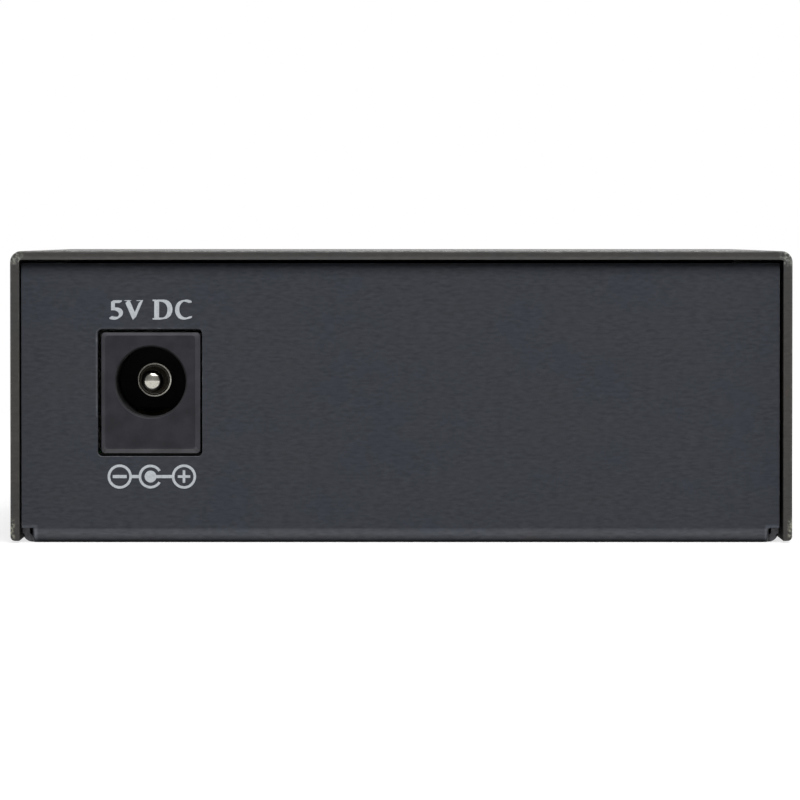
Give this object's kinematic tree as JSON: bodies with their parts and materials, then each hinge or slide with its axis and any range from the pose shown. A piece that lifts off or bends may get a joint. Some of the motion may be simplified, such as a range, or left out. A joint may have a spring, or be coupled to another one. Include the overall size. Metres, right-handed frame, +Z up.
{
  "type": "fibre media converter",
  "caption": "Compact fibre-to-copper media converter: U-shaped cover over a folded steel tray, DC jack at the rear, network and duplex fibre ports at the front.",
  "frame": {"origin": "under the middle of the case, on the surface it stands on", "axes": "+X across the case, +Y from the power end to the port end, +Z up"},
  "size_m": [0.071, 0.094, 0.0265],
  "materials": {
    "case_paint": "fine matt powder coat, dark grey",
    "black_steel": "blackened steel",
    "plated_steel": "bright tin or zinc plate",
    "plated_brass": "tinned",
    "gold_contact": "gold flash",
    "sleeve_metal": "turned",
    "black_plastic": "moulded, dark",
    "receptacle_plastic": "moulded, dark",
    "pale_plastic": "moulded, natural",
    "board_laminate": "green solder mask",
    "chip_resin": "moulded epoxy",
    "lamp_resin": "tinted clear resin",
    "capacitor_can": "sleeved can",
    "ferrite": "sintered"
  },
  "bodies": {
    "root": {"base_tray": "case_paint", "top_cover": "case_paint", "cover_screws": "black_steel", "board_posts": "plated_steel", "board_screws": "plated_steel", "circuit_board": "board_laminate", "jack_housing": "black_plastic", "jack_centre_pin": "plated_brass", "jack_pin_terminal": "plated_brass", "jack_spring_contact": "plated_brass", "jack_shunt_contact": "plated_brass", "network_port_body": "black_plastic", "network_port_shield": "plated_steel", "network_port_contacts": "gold_contact", "transceiver_housing": "receptacle_plastic", "transceiver_lid": "plated_steel", "transceiver_board": "board_laminate", "transceiver_pins": "plated_brass", "fibre_sleeves": "sleeve_metal", "fibre_latches": "pale_plastic", "indicator_lamps": "lamp_resin", "indicator_holders": "black_plastic", "indicator_leads": "plated_brass", "converter_chip": "chip_resin", "line_transformer": "chip_resin", "line_transformer_leads": "plated_brass", "settings_memory": "chip_resin", "clock_crystal": "plated_steel", "supply_capacitor": "capacitor_can", "supply_inductor": "ferrite", "voltage_regulator": "chip_resin", "chip_resistors": "chip_resin"}
  },
  "joints": []
}
